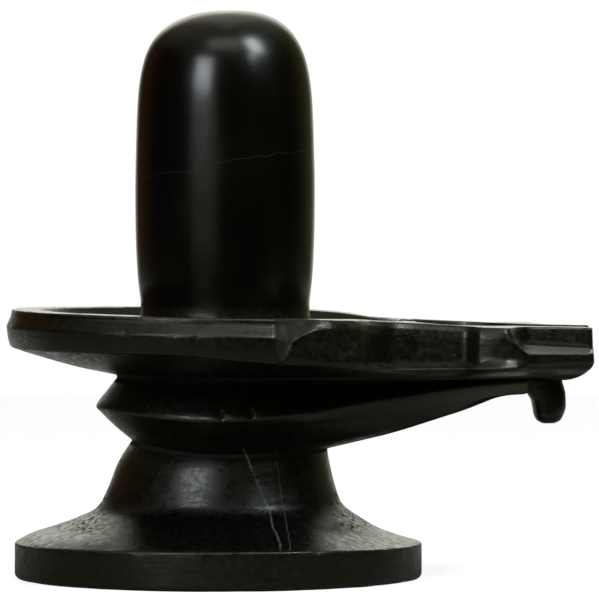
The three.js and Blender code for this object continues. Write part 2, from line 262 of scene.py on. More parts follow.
def round_level(centre, radius, height, angle=ANGLE):
    return points(centre + radius * np.cos(angle), radius * np.sin(angle), height)


def spouted_level(centre, radius, reach, half_width, height, crown=0.0, shift=0.0):
    """A round level that runs out on both sides of the spout to its end."""
    corner = centre + radius * math.cos(CORNER_ANGLE)
    x = np.where(IS_ARC, centre + radius * np.cos(ANGLE), lerp(corner, reach, OUTWARD))
    y = np.where(IS_ARC, radius * np.sin(ANGLE), SIDEWAYS * half_width(x))
    x = x + np.where(IS_END, crown * (1 - SIDEWAYS**2), 0)
    x = x + np.where(IS_SIDE & (SIGN > 0), shift * np.sin(math.pi * OUTWARD), 0)
    return points(x, y, height)


def part_way(start, end, part, round_sag, spout_sag):
    """A level between two others, sagging below the straight way between them."""
    level = lerp(start, end, part)
    level[:, 2] -= 4 * lerp(round_sag, spout_sag, OUTWARD) * part * (1 - part)
    return level


# ---- levels, from the bottom up -----------------------------------------------------------
# Each entry is a level, how far its corner is rounded, and how many steps lead on to the next.

def foot_levels():
    return [
        (round_level(0, FOOT_RADIUS - 0.9, 0), 0.0, 1),
        (round_level(0, FOOT_RADIUS, 0.9), 0.8, 6),
        (round_level(0, FOOT_RADIUS, foot_edge), 0.6, 3),
        (round_level(0, FOOT_RADIUS - 4.6, slope_foot), 2.5, 5),
        (round_level(0.4, FOOT_RADIUS - 15.6, slope_middle), 5.0, 6),
    ]


def pedestal_levels():
    neck = round_level(4, 34.5, lambda x: neck_height(x) - 0.5)
    return [
        (round_level(0.9, 44.9, lambda x: lerp(23.1, 23.7, smoothstep(x, 0, 40))), 4.5, 2),
        (round_level(1.0, 42.2, 26.6), 1.0, 4),
        (round_level(1.3, 39.7, 32.8), 4.0, 5),
        (round_level(1.8, 37.2, 41.3), 4.0, 3),
        (neck, 0.3, 1),
    ]


def hull_levels():
    def edge(inset, rise):
        return spouted_level(
            3.9, 47.6 - inset, 111 - inset,
            lambda x: ridge_half(x) - inset, lambda x: ridge_height(x) + rise,
        )

    neck = round_level(4, 35, neck_height)
    keel = spouted_level(3.9, 46, 109.5, keel_half, keel_height)
    return [
        (neck, 0.35, 3),
        (part_way(neck, keel, 0.35, 0.4, 0.9), 5.0, 4),
        (part_way(neck, keel, 0.68, 0.4, -0.5), 5.0, 4),
        (part_way(neck, keel, 0.86, 0.3, -4.2), 4.0, 3),
        (keel, 2.0, 2),
        (edge(0, 0), 3.2, 7),
    ]


def groove_level(rise):
    return spouted_level(
        2.4, 38 + rise / 2, 114,
        lambda x: groove_half(x) + rise / 2, lambda x: groove_height(x) + rise,
    )


# The notch's right side at each height: it leans over into an arch along the panel beside it.
arch = along((76, 22.8), (85.3, 26.2), (88.4, 29.6), (90, 33), (94, 37))


def up_notch(z):
    """How far up the notch a place is, from 0 at its foot to 1 at its top."""
    return np.clip((z - NOTCH_FOOT) / NOTCH_HEIGHT, 0, 1)


def across_notch(x, z):
    """How far across the notch a place is, from 0 at its left side to 1 at its right side."""
    left = lerp(*NOTCH_LEFT, up_notch(z))
    return np.clip((x - left) / (arch(z) - left), 0, 1)


def notched(level):
    """Cuts the notch in the near side of the plate's rim: it deepens to its steep right side."""
    x, y, z = level.T
    across = across_notch(x, z)
    floor = NOTCH_DROP * smoothstep(across, 0, 0.1) + (1 - NOTCH_DROP) * across
    flutes = 1 - FLUTE_DEPTH * np.cos(2 * math.pi * FLUTES * across)
    cut = lerp(*NOTCH_DEPTH, up_notch(z)) * floor * flutes * (1 - smoothstep(across, 0.72, 1))
    return np.stack([x, y + np.where(y < 0, cut, 0), z], axis=1)


def with_post(level):
    """Hollows the near rim beside the corner where the round plate ends, and leans the corner in."""
    x, y, z = level.T
    hollow = HOLLOW_DEPTH * hump(x, HOLLOW_X, HOLLOW_WIDTH) * smoothstep(z, 78, 86)
    lean = POST_LEAN * smoothstep(z, 80, 90) * smoothstep(x, 40, 46) * (1 - smoothstep(x, 52, 56))
    inward = np.where(y < 0, hollow + lean, 0)
    return level + inward[:, None] * np.array([-math.sin(POST_TURN), math.cos(POST_TURN), 0])


def plate_level(half_width, height, pull=0.0):
    """The plate's outline at one height, pulled in square to itself, a number or one per station."""
    x, y, _ = spouted_level(
        PLATE_CENTRE, PLATE_RADIUS, PLATE_REACH, half_width, 0, crown=TIP_CROWN, shift=FAR_SHIFT,
    ).T
    along_x, along_y = (np.roll(v, -1) - np.roll(v, 1) for v in (x, y))
    length = np.hypot(along_x, along_y)
    x, y = x - pull * along_y / length, y + pull * along_x / length
    return points(x, y, height)


def plate_levels(groove):
    x = plate_level(wall_half, 0)[:, 0]
    spout = smoothstep(x, 22, 36)
    tip = smoothstep(x, 94, 103)
    under = plate_level(lip_half, under_edge, lerp(1.4, 0.8, spout))
    lip = plate_level(lip_half, lambda x: under_edge(x) + 1.4, lerp(0.9, 0, spout))
    wall_foot = plate_level(wall_half, lambda x: under_edge(x) + wall_rise(x), lerp(0.4, 0, spout))
    ridge = plate_level(wall_half, rim_ridge, np.where(IS_END, 0.2, 0.5 * spout))
    bevel = rim_bevel(x)
    step_pull = np.where(IS_END, 0.2, lerp(bevel, lerp(1.1, 0.4, tip), spout))
    step = plate_level(block_half, rim_step, step_pull)
    top_pull = np.where(IS_END, 0.4, lerp(bevel + 0.2, lerp(2.5, 1.6, tip), spout))
    top = plate_level(block_half, top_height, top_pull)
    top[:, 2] -= TROUGH_DEPTH * OPEN
    return [
        (part_way(groove, under, 0.4, 1.0, 2.8), 6.0, 5),
        (part_way(groove, under, 0.75, 0.8, 3.4), 6.0, 5),
        (under, 1.2, 2),
        (lip, 0.6, 2),
        (notched(wall_foot), 0.9, 5),
        (with_post(notched(ridge)), 0.5, 5),
        (with_post(notched(step)), 0.5, 3),
        (with_post(notched(top)), 0.7, 3),
    ]


def far_dip(level):
    """Lowers the far rim a little where it runs into the spout."""
    x, y, z = level.T
    dip = FAR_DIP * hump(x, FAR_DIP_X, FAR_DIP_LENGTH) * smoothstep(y, 18, 46)
    return np.stack([x, y, z - dip * np.clip((z - 80) / 10, 0, 1)], axis=1)


def basin_level(radius, height, centre=BASIN_CENTRE):
    return round_level(centre, radius, height, BASIN_TURN)


def trough_levels(top):
    """The rim's top from its outer edge to the basin, and at the spout the trough's edge and floor."""
    edge = basin_level(BASIN_RADIUS, top_height)
    corner = np.stack([np.full_like(SIGN, TROUGH_ROOT), SIDEWAYS * TROUGH_ROOT_HALF], axis=1)

    def level(share, drop, x, half_width):
        rim = lerp(top[:, :2], edge[:, :2], share)
        rim = lerp(rim, corner, smoothstep(TO_ROOT, 0.55, 1)[:, None])
        trough = np.stack([x, SIDEWAYS * half_width], axis=1)
        x, y = np.where((OUTWARD > ROOT_SHARE)[:, None], trough, rim).T
        return points(x, y, lambda x: top_height(x) - drop)

    def outer(inset):
        x = lerp(TROUGH_ROOT + inset, TROUGH_TIP - 0.2 * inset, ALONG_TROUGH)
        within = np.minimum(np.abs(SIDEWAYS) / MOUTH_SHARE, 1) * 0.96 + 0.04 * np.abs(SIDEWAYS)
        shift = np.where(SIDEWAYS > 0, FAR_SHIFT, 0) * np.sin(math.pi * OUTWARD)
        return (
            x + shift * smoothstep(ALONG_TROUGH, 0, 0.12),
            (trough_half(x) - inset) * within / np.maximum(np.abs(SIDEWAYS), 1e-6),
        )

    def inner(inset):
        half_width = lerp(1, 0.7, ALONG_TROUGH) * (TROUGH_ROOT_HALF - inset)
        return TROUGH_ROOT + inset - 0.004 * half_width**2, half_width

    floor = TROUGH_DEPTH * smoothstep(ALONG_TROUGH, 0, 0.04)
    return [
        (level(0.25, TROUGH_DEPTH * OPEN, *outer(0)), 0.7, 3),
        (level(0.45, floor, *outer(2.0)), 1.1, 5),
        (level(0.65, floor, *inner(2.0)), 1.1, 3),
        (level(0.85, SILL_DEPTH * OPEN, *inner(0)), 0.7, 3),
    ]


def basin_levels():
    def sill(x, drop):
        return top_height(x) - np.maximum(drop, SILL_DEPTH * OPEN)

    return [
        (basin_level(BASIN_RADIUS, lambda x: sill(x, 0)), 0.9, 3),
        (basin_level(61.8, lambda x: sill(x, 2.4)), 1.5, 2),
        (basin_level(58.6, lambda x: top_height(x) - BASIN_DEPTH), 2.6, 5),
        (basin_level(47.5, lambda x: top_height(x) - BASIN_DEPTH), 5.0, 7),
        (basin_level(33.2, lambda x: top_height(x) - BASIN_DEPTH + 0.4, SHAFT_CENTRE), 1.2, 2),
        (basin_level(30.2, lambda x: top_height(x) - 2.8, SHAFT_CENTRE), 1.6, 2),
        (basin_level(29.75, lambda x: top_height(x) + 0.6, SHAFT_CENTRE), 1.2, 1),
    ]


def shaft_levels():
    """The shaft swells to its middle and closes in a superellipse, spaced along its outline."""
    body = along(
        (96.8, 29.75), (107, 30.9), (122, 31.55), (138, 31.7), (152, 31.45), (160, 31.2), (180, 30.6),
    )
    turn = np.linspace(0, math.pi / 2, SHAFT_SAMPLES)
    height = SHAFT_FOOT + (HEIGHT - SHAFT_FOOT) * np.sin(turn) ** 0.8
    rise = np.clip((height - DOME_START) / (HEIGHT - DOME_START), 0, 1)
    radius = body(height) * (1 - rise**DOME_SHARPNESS) ** (1 / DOME_FULLNESS)
    travel = np.hypot(np.diff(radius, prepend=radius[0]), np.diff(height, prepend=SHAFT_FOOT))
    travel = np.cumsum(travel)
    levels = []
    for part in np.linspace(0, 1, SHAFT_RINGS + 1)[:-1] ** 0.88:
        z = float(np.interp(part * travel[-1], travel, height))
        lean = SHAFT_LEAN * max(0.0, (z - LEAN_START) / (HEIGHT - LEAN_START)) ** 2
        r = float(np.interp(part * travel[-1], travel, radius))
        levels.append((basin_level(r, z, SHAFT_CENTRE + lean), 0.0, 1))
    return levels


def rounded_share(rounding, length):
    """The share of each stretch of these lengths that a corner's rounding takes up."""
    return np.minimum(rounding / np.maximum(length, 1e-6), ROUNDING_LIMIT)


def refine(levels):
    """Rounds the corners between levels and fills the straight stretches."""
    rings = []
    last = len(levels) - 1
    for k, (level, rounding, steps) in enumerate(levels):
        before = levels[k - 1][0] if k else level
        after = levels[k + 1][0] if k < last else level
        leave = level
        if rounding and 0 < k < last:
            back = np.linalg.norm(before - level, axis=1, keepdims=True)
            on = np.linalg.norm(after - level, axis=1, keepdims=True)
            arrive = lerp(level, before, rounded_share(rounding, back))
            leave = lerp(level, after, rounded_share(rounding, on))
            for t in np.linspace(0, 1, 5 if rounding > 1 else 4):
                rings.append((1 - t) ** 2 * arrive + 2 * t * (1 - t) * level + t * t * leave)
        else:
            rings.append(level)
        if k < last and steps > 1:
            gap = np.linalg.norm(after - level, axis=1, keepdims=True)
            end = lerp(after, level, rounded_share(levels[k + 1][1], gap) if k + 1 < last else 0.0)
            for t in np.linspace(0, 1, steps + 1)[1:-1]:
                rings.append(lerp(leave, end, t))
    return rings


def make_mesh(name, vertices, faces):
    """A piece made of vertices in millimetres and faces."""
    mesh = bpy.data.meshes.new(name)
    mesh.from_pydata((np.asarray(vertices) * MM).tolist(), [], faces)
    mesh.update()
    piece = bpy.data.objects.new(name, mesh)
    bpy.context.scene.collection.objects.link(piece)
    return piece


def skin(name, rings, bottom, top):
    """A closed skin through rings of the same length, from the bottom point to the top point."""
    count = len(rings[0])
    vertices = np.concatenate([[bottom], *rings, [top]])
    peak = len(vertices) - 1
    column = np.arange(count)
    following = (column + 1) % count
    faces = [(0, 1 + b, 1 + a) for a, b in zip(column, following)]
    for ring in range(len(rings) - 1):
        low, high = 1 + ring * count, 1 + (ring + 1) * count
        faces += [(low + a, low + b, high + b, high + a) for a, b in zip(column, following)]
    low = 1 + (len(rings) - 1) * count
    faces += [(low + a, low + b, peak) for a, b in zip(column, following)]
    return make_mesh(name, vertices, [tuple(int(i) for i in face) for face in faces])


def knob_rings():
    """The knob under the spout's tip: level rings with soft corners, its top inside the plate."""
    back = along(
        (KNOB_BOTTOM, 114.2), (55.4, 112.6), (57.5, 111.5), (60.4, 111), (62.5, 110.5), (65, 109),
        (KNOB_TOP, 105),
    )
    front = along(
        (KNOB_BOTTOM, 119), (55.4, 120.8), (57.5, 122), (60.4, 122.8), (64.6, 122.7), (69.2, 121.5),
        (KNOB_TOP, 120.5),
    )
    half = along((KNOB_BOTTOM, 5.0), (55.4, 6.6), (KNOB_FULL, 7.4), (KNOB_TOP, 7.6))
    heights = [*np.linspace(KNOB_BOTTOM, KNOB_FULL, 9), *np.linspace(KNOB_FULL + 0.9, KNOB_TOP, 20)]
    turn = np.linspace(0, 2 * math.pi, KNOB_STATIONS, endpoint=False)

    def soften(value):
        return np.sign(value) * np.abs(value) ** 0.78

    rings = []
    for z in heights:
        middle, reach = (front(z) + back(z)) / 2, (front(z) - back(z)) / 2
        x, y = middle + reach * soften(np.cos(turn)), half(z) * soften(np.sin(turn))
        rings.append(np.stack([x, y, np.full_like(x, z)], axis=1))
    return rings


def as_mesh(piece):
    """Turns a piece with live modifiers into a plain mesh."""
    bpy.context.view_layer.update()
    graph = bpy.context.evaluated_depsgraph_get()
    mesh = bpy.data.meshes.new_from_object(piece.evaluated_get(graph))
    piece.modifiers.clear()
    piece.data = mesh


def join(piece, other):
    """Joins two closed pieces into one skin."""
    union = piece.modifiers.new("join", "BOOLEAN")
    union.operation, union.solver, union.object = "UNION", "MANIFOLD", other
    as_mesh(piece)
    bpy.data.objects.remove(other)


# ---- marks of the chisel ------------------------------------------------------------------
# Each mark is a place, its reach along x, y and z, its depth, and which way it is pushed in.

RIDGE_CRACKS = [
    ((1.6, -43.8, 58.8), (0.9, 4.0, 1.9), 1.2, (0.2, 1, 0)),
    ((2.8, -42.0, 56.4), (0.8, 4.0, 1.8), 1.0, (0.2, 1, 0)),
    ((12.0, -43.6, 59.2), (1.1, 4.0, 2.0), 1.1, (0.3, 1, 0)),
]
RIM_CHIPS = [
    ((-5.5, -77, 91.5), (1.6, 3.0, 1.0), 0.5, (0, 1, -0.4)),
    ((-31, -71, 88.2), (2.2, 4.0, 0.8), 0.35, (0.3, 1, 0)),
    ((-14, -76, 87.4), (1.2, 4.0, 0.6), 0.25, (0, 1, 0)),
    ((-6, -77, 87.2), (1.0, 4.0, 0.6), 0.2, (0, 1, 0)),
]
FOOT_NICKS = [
    ((-26, -67.5, 13.2), (0.9, 1.2, 0.7), 0.4, (0, 1, -0.5)),
    ((-9, -71, 6.0), (0.8, 1.2, 0.8), 0.35, (0, 1, 0)),
    ((35, -63, 13.0), (1.2, 1.5, 0.8), 0.45, (-0.3, 1, -0.5)),
    ((60, -40, 13.2), (1.4, 1.4, 0.9), 0.5, (-0.8, 0.6, -0.5)),
    ((-64, -33, 13.2), (1.3, 1.3, 0.8), 0.5, (0.8, 0.5, -0.5)),
]


def strike(piece, marks):
    """Splits the faces near each mark finer, then pushes the mark in."""
    shape = bmesh.new()
    shape.from_mesh(piece.data)
    for place, reach, depth, push in marks:
        place, reach = Vector(place) * MM, Vector(reach) * MM
        push = Vector(push).normalized() * depth * MM

        def nearness(co):
            return sum(((co[k] - place[k]) / reach[k]) ** 2 for k in range(3))

        edges = [e for e in shape.edges if all(nearness(v.co) < 5 for v in e.verts)]
        bmesh.ops.subdivide_edges(shape, edges=edges, cuts=3, use_grid_fill=True)
        for v in shape.verts:
            near = nearness(v.co)
            if near < 9:
                v.co += push * math.exp(-near)
    shape.to_mesh(piece.data)
    shape.free()


# ---- node trees ---------------------------------------------------------------------------

def node(tree, kind, inputs=None, **settings):
    """Adds a node. Its inputs are given by name or number, as values or as sockets to link."""
    made = tree.nodes.new(kind)
    for name, value in settings.items():
        setattr(made, name, value)
    for name, value in (inputs or {}).items():
        if isinstance(value, bpy.types.NodeSocket):
            tree.links.new(value, made.inputs[name])
        else:
            made.inputs[name].default_value = value
    return made


def calc(tree, operation, *values):
    return node(tree, "ShaderNodeMath", dict(enumerate(values)), operation=operation).outputs[0]


def product(tree, *values):
    """Several values multiplied together."""
    total, *others = values
    for value in others:
        total = calc(tree, "MULTIPLY", total, value)
    return total


def vector_calc(tree, operation, *values):
    made = node(tree, "ShaderNodeVectorMath", dict(enumerate(values)), operation=operation)
    return made.outputs["Value" if operation == "DOT_PRODUCT" else "Vector"]


def scaled(tree, vector, scale):
    """A vector multiplied by one value."""
    inputs = {0: vector, "Scale": scale}
    return node(tree, "ShaderNodeVectorMath", inputs, operation="SCALE").outputs["Vector"]


def axes(tree, vector):
    """A vector's X, Y and Z."""
    return node(tree, "ShaderNodeSeparateXYZ", {0: vector}).outputs


def ramp(tree, value, low, high, to_low=0.0, to_high=1.0):
    """A smooth step of a value between two limits."""
    inputs = {"Value": value, "From Min": low, "From Max": high, "To Min": to_low, "To Max": to_high}
    return node(tree, "ShaderNodeMapRange", inputs, interpolation_type="SMOOTHSTEP").outputs["Result"]


def band(tree, value, start, full, fade, end):
    """A mask that rises smoothly from start to full and falls again from fade to end."""
    return product(tree, ramp(tree, value, start, full), ramp(tree, value, fade, end, 1.0, 0.0))


def inverse(tree, size):
    """One over a size, which is a number or a socket."""
    return calc(tree, "DIVIDE", 1.0, size) if isinstance(size, bpy.types.NodeSocket) else 1 / size


def noise(tree, point, size, detail=2.0):
    """Noise whose features are about as wide as size, in metres."""
    inputs = {"Vector": point, "Scale": inverse(tree, size), "Detail": detail}
    return node(tree, "ShaderNodeTexNoise", inputs).outputs["Fac"]


def stretched(tree, point, scale):
    return vector_calc(tree, "MULTIPLY", point, scale)


def mix_value(tree, factor, first, second):
    return node(tree, "ShaderNodeMix", {0: factor, 2: first, 3: second}).outputs[0]


def mix_colour(tree, factor, first, second):
    inputs = {0: factor, 6: first, 7: second}
    return node(tree, "ShaderNodeMix", inputs, data_type="RGBA").outputs[2]


def group(name, kind, inputs, outputs):
    """An empty node group with its sockets, and its input and output nodes."""
    tree = bpy.data.node_groups.new(name, kind)
    for direction, sockets in (("INPUT", inputs), ("OUTPUT", outputs)):
        for socket, (socket_kind, value) in sockets.items():
            made = tree.interface.new_socket(socket, in_out=direction, socket_type=socket_kind)
            if value is not None:
                made.default_value = value
    return tree, node(tree, "NodeGroupInput").outputs, node(tree, "NodeGroupOutput").inputs


def new_material(name):
    """A material, its node tree and its shader."""
    material = bpy.data.materials.new(name)
    material.use_nodes = True
    return material, material.node_tree, material.node_tree.nodes["Principled BSDF"]


# ---- the carved surface -------------------------------------------------------------------

# The carving's sizes in metres, the height where the polish begins, and the share left above it.
CARVING = {
    "Swell Size": 0.028,
    "Swell Depth": 0.0006,
    "Flat Size": 0.007,
    "Flat Depth": 0.00014,
    "Polish Height": 0.0955,
    "Polish Share": 0.25,
    "Seed": 3.0,
}


def carving_tree():
    """Moves the skin by slow swells and by small flats, less above the polish height."""
    tree, given, result = group(
        "hand_carved", "GeometryNodeTree",
        {
            "Geometry": ("NodeSocketGeometry", None),
            **{name: ("NodeSocketFloat", value) for name, value in CARVING.items()},
            "Stone": ("NodeSocketMaterial", None),
        },
        {"Geometry": ("NodeSocketGeometry", None)},
    )
    place = node(tree, "GeometryNodeInputPosition").outputs[0]
    normal = node(tree, "GeometryNodeInputNormal").outputs[0]
    shifted = vector_calc(tree, "ADD", place, given["Seed"])
    swell = noise(tree, shifted, given["Swell Size"], detail=1.0)
    flats = node(tree, "ShaderNodeTexVoronoi", {
        "Vector": shifted, "Scale": inverse(tree, given["Flat Size"]), "Smoothness": 0.6,
    }, feature="SMOOTH_F1").outputs["Distance"]
    height = calc(
        tree, "ADD",
        product(tree, calc(tree, "SUBTRACT", swell, 0.5), given["Swell Depth"]),
        product(tree, calc(tree, "SUBTRACT", flats, 0.4), given["Flat Depth"]),
    )
    above = calc(tree, "GREATER_THAN", axes(tree, place)["Z"], given["Polish Height"])
    share = calc(tree, "MULTIPLY_ADD", above, calc(tree, "SUBTRACT", given["Polish Share"], 1.0), 1.0)
    offset = scaled(tree, normal, product(tree, height, share))
    moved = node(tree, "GeometryNodeSetPosition", {"Geometry": given["Geometry"], "Offset": offset})
    real = node(tree, "GeometryNodeRealizeInstances", {"Geometry": moved.outputs[0]})
    finished = node(tree, "GeometryNodeSetMaterial", {
        "Geometry": real.outputs[0], "Material": given["Stone"],
    })
    tree.links.new(finished.outputs[0], result["Geometry"])
    return tree


def carve(piece, stone_material):
    """Runs the carving tree over a piece and keeps the result as its plain mesh."""
    tree = carving_tree()
    carving = piece.modifiers.new("carving", "NODES")
    carving.node_group = tree
    for item in tree.interface.items_tree:
        if item.name == "Stone":
            carving[item.identifier] = stone_material
    as_mesh(piece)


def point_values(mesh, name):
    """A place or a normal at each point of a mesh, as rows of three numbers."""
    values = np.empty(3 * len(mesh.vertices))
    mesh.vertices.foreach_get(name, values)
    return values.reshape(-1, 3)


def store(mesh, name, values):
    """Stores a value at each point of a mesh, for the material to read."""
    mesh.attributes.new(name, "FLOAT", "POINT").data.foreach_set("value", values)


def keep_inside(piece, box):
    """Holds every point inside the solid's box."""
    low, high = (np.array(corner) for corner in box)
    places = np.clip(point_values(piece.data, "co"), low, high)
    piece.data.vertices.foreach_set("co", places.ravel())
    piece.data.update()


def mark_edges(piece):
    """Stores how sharply each point stands out, from -1 in a crease to 1 on an edge, as "edge"."""
    mesh = piece.data
    places, normals = point_values(mesh, "co"), point_values(mesh, "normal")
    ends = np.empty(2 * len(mesh.edges), int)
    mesh.edges.foreach_get("vertices", ends)
    a, b = ends.reshape(-1, 2).T
    step = places[b] - places[a]
    length2 = np.maximum((step**2).sum(axis=1), 1e-12)
    total, weight = np.zeros(len(places)), np.zeros(len(places))
    for start, sign in ((a, -1), (b, 1)):
        bend = sign * (step * normals[start]).sum(axis=1) / length2
        np.add.at(total, start, bend)
        np.add.at(weight, start, 1)
    curvature = total / np.maximum(weight, 1)
    for _ in range(2):
        evened, weight = curvature.copy(), np.ones(len(places))
        for start, end in ((a, b), (b, a)):
            np.add.at(evened, start, curvature[end])
            np.add.at(weight, start, 1)
        curvature = evened / weight
    store(mesh, "edge", np.clip(curvature * EDGE_RADIUS, -1, 1))


def mark_notch(piece):
    """Stores where the stone is freshly broken in the notch, from 0 to 1, as "broken": rougher, and
    darkened with painted shade.
    """
    x, y, z = point_values(piece.data, "co").T / MM
    across = across_notch(x, z)
    share = smoothstep(across, 0, 0.06) * (1 - smoothstep(across, 0.9, 1)) * smoothstep(z, 75, 78)
    store(piece.data, "broken", np.where((y < -60) & (z < 95), share, 0.0))


# ---- stone --------------------------------------------------------------------------------

# Heights in metres where a band begins, is full, begins to fade and ends.
PEDESTAL_BAND = (0.0134, 0.0144, 0.046, 0.048)
FILLET_BAND = (0.0136, 0.0146, 0.026, 0.034)
FLARE_BAND = (0.0165, 0.020, 0.028, 0.034)
MOULDING_BAND = (0.0565, 0.0585, 0.0692, 0.0700)
GROOVE_BAND = (0.0688, 0.0694, 0.0716, 0.0726)
LEDGE_BAND = (0.076, 0.078, 0.0825, 0.0835)

DARK_STONE, LIGHT_STONE = (0.0026, 0.0025, 0.0004, 1), (0.0050, 0.0048, 0.0008, 1)
VEIN_COLOUR = (0.075, 0.075, 0.062, 1)

# The colours laid over the stone, in this order, each through the mask of its name.
LAYERS = {
    "polished": (0.0014, 0.0012, 0.0004, 1),
    "rusty": (0.0036, 0.0018, 0.0006, 1),
    # Paler sharp edges: wear, and a painted highlight along the edges.
    "wear_and_glint": (0.035, 0.035, 0.030, 1),
    # Painted shade: darker in the creases, in the groove under the plate and in the notch.
    "crease_shade": (0.0012, 0.0011, 0.0005, 1),
    # Painted light: the upward ledges near the spout's tip are paler, as if lit from above.
    "lit_ledge": (0.092, 0.092, 0.080, 1),
    # Painted light: the hull's downward faces towards the spout are paler, a painted reflection.
    "hull_sheen": (0.080, 0.078, 0.062, 1),
    # Painted shade: the foot's slope under the hull is darker.
    "fillet_shade": (0.0008, 0.0008, 0.0003, 1),
}

# Each vein's region, a point in it, the way across it, how far it wanders, its width and strength.
VEINS = [
    ("pedestal", (0.0102, -0.036, 0.0451), (0.929, 0, 0.371), 0.0024, 0.00050, 0.9),
    ("pedestal", (0.0205, -0.036, 0.0435), (0.986, 0, 0.167), 0.0022, 0.00040, 0.4),
    ("shaft", (0.0024, -0.032, 0.1466), (-0.172, 0.05, 0.985), 0.0060, 0.00036, 0.10),
]


def vein_sheet():
    """A thin wandering sheet of pale mineral through the stone, seen where it meets the surface."""
    tree, given, result = group(
        "vein_sheet", "ShaderNodeTree",
        {
            "Point": ("NodeSocketVector", None),
            "Through": ("NodeSocketVector", (0, 0, 0)),
            "Across": ("NodeSocketVector", (1, 0, 0)),
            "Wander": ("NodeSocketFloat", 0.001),
            "Width": ("NodeSocketFloat", 0.0003),
        },
        {"Mask": ("NodeSocketFloat", None)},
    )
    offset = vector_calc(tree, "SUBTRACT", given["Point"], given["Through"])
    distance = vector_calc(tree, "DOT_PRODUCT", offset, given["Across"])
    sway = calc(tree, "SUBTRACT", noise(tree, given["Point"], 0.012, detail=2.5), 0.5)
    distance = calc(tree, "MULTIPLY_ADD", sway, given["Wander"], distance)
    share = calc(tree, "DIVIDE", calc(tree, "ABSOLUTE", distance), given["Width"])
    line = ramp(tree, share, 0.2, 1.0, 1.0, 0.0)
    broken = ramp(tree, noise(tree, given["Point"], 0.004, detail=3.0), 0.3, 0.5, 0.15, 1.0)
    tree.links.new(product(tree, line, broken), result["Mask"])
    return tree


def stone_grain():
    """The stone's grain: fine crystals, slow blotches and scattered pits."""
    tree, given, result = group(
        "stone_grain", "ShaderNodeTree",
        {
            "Point": ("NodeSocketVector", None),
            "Crystal": ("NodeSocketFloat", 0.0004),
            "Blotch": ("NodeSocketFloat", 0.0022),
        },
        {
            "Fine": ("NodeSocketFloat", None),
            "Blotches": ("NodeSocketFloat", None),
            "Pits": ("NodeSocketFloat", None),
        },
    )
    for output, size, detail in (("Fine", "Crystal", 2.0), ("Blotches", "Blotch", 4.0)):
        tree.links.new(noise(tree, given["Point"], given[size], detail), result[output])
    cells = node(tree, "ShaderNodeTexVoronoi", {
        "Vector": given["Point"], "Scale": calc(tree, "DIVIDE", 0.35, given["Crystal"]),
    })
    pits = ramp(tree, cells.outputs["Distance"], 0.08, 0.22, 1.0, 0.0)
    chosen = ramp(tree, noise(tree, given["Point"], 0.0021), 0.58, 0.66)
    tree.links.new(product(tree, pits, chosen), result["Pits"])
    return tree


def stone_masks(tree, point, grain):
    """Where the stone is polished, worn, rusty and so on, where shade and light are painted on it, and
    the regions of the veins.
    """
    x, _, z = axes(tree, point)
    rise = axes(tree, node(tree, "ShaderNodeNewGeometry").outputs["Normal"])["Z"]
    edge = node(tree, "ShaderNodeAttribute", attribute_name="edge").outputs["Fac"]
    broken = node(tree, "ShaderNodeAttribute", attribute_name="broken").outputs["Fac"]
    # Painted shade in the creases and the groove under the plate, and in the notch.
    crease_shade = calc(tree, "MAXIMUM", ramp(tree, edge, -0.5, -0.1, 1.0, 0.0), band(tree, z, *GROOVE_BAND))
    return {
        "polished": ramp(tree, z, 0.0945, 0.0965),
        "rusty": ramp(tree, noise(tree, point, 0.03), 0.5, 0.7, 0.0, 0.6),
        # Wear and a painted highlight on the sharp edges, less in the notch.
        "wear_and_glint": product(
            tree,
            ramp(tree, edge, 0.25, 0.9),
            ramp(tree, grain["Blotches"], 0.35, 0.6, 0.25, 1.0),
            calc(tree, "MULTIPLY_ADD", broken, -0.4, 0.45),
        ),
        "crease_shade": calc(tree, "MAXIMUM", crease_shade, product(tree, broken, 0.75)),
        # Painted light on the upward ledges near the spout's tip.
        "lit_ledge": product(
            tree,
            ramp(tree, rise, 0.55, 0.95),
            band(tree, z, *LEDGE_BAND),
            ramp(tree, x, 0.078, 0.094, 0.3, 1.0),
            ramp(tree, grain["Fine"], 0.3, 0.7, 0.5, 1.0),
        ),
        # Painted light on the hull's downward faces towards the spout.
        "hull_sheen": product(
            tree,
            ramp(tree, x, 0.066, 0.104, 0.12, 1.0),
            ramp(tree, x, 0.018, 0.030),
            band(tree, z, *MOULDING_BAND),
            ramp(tree, rise, -0.1, -0.4),
        ),
        # Painted shade on the foot's slope under the hull.
        "fillet_shade": band(tree, z, *FILLET_BAND),
        "pitted": product(
            tree,
            ramp(tree, calc(tree, "ABSOLUTE", x), 0.036, 0.046),
            band(tree, z, *FLARE_BAND),
            ramp(tree, noise(tree, point, 0.0016, detail=4.0), 0.52, 0.6),
        ),
        "rubbed": product(tree, ramp(tree, rise, 0.8, 0.97), ramp(tree, z, 0.084, 0.087)),
        "pedestal": band(tree, z, *PEDESTAL_BAND),
        "shaft": ramp(tree, z, 0.1, 0.11),
    }


def stone_colour(tree, point, grain, masks):
    """Blotches of dark and light stone, the layers over them, and the veins."""
    colour = mix_colour(tree, grain["Blotches"], DARK_STONE, LIGHT_STONE)
    for name, layer in LAYERS.items():
        colour = mix_colour(tree, masks[name], colour, layer)
    sheet = vein_sheet()
    for region, through, across, wander, width, strength in VEINS:
        vein = node(tree, "ShaderNodeGroup", {
            "Point": point, "Through": through, "Across": across, "Wander": wander, "Width": width,
        }, node_tree=sheet).outputs["Mask"]
        mask = product(tree, vein, masks[region], strength)
        colour = mix_colour(tree, mask, colour, VEIN_COLOUR)
    return colour


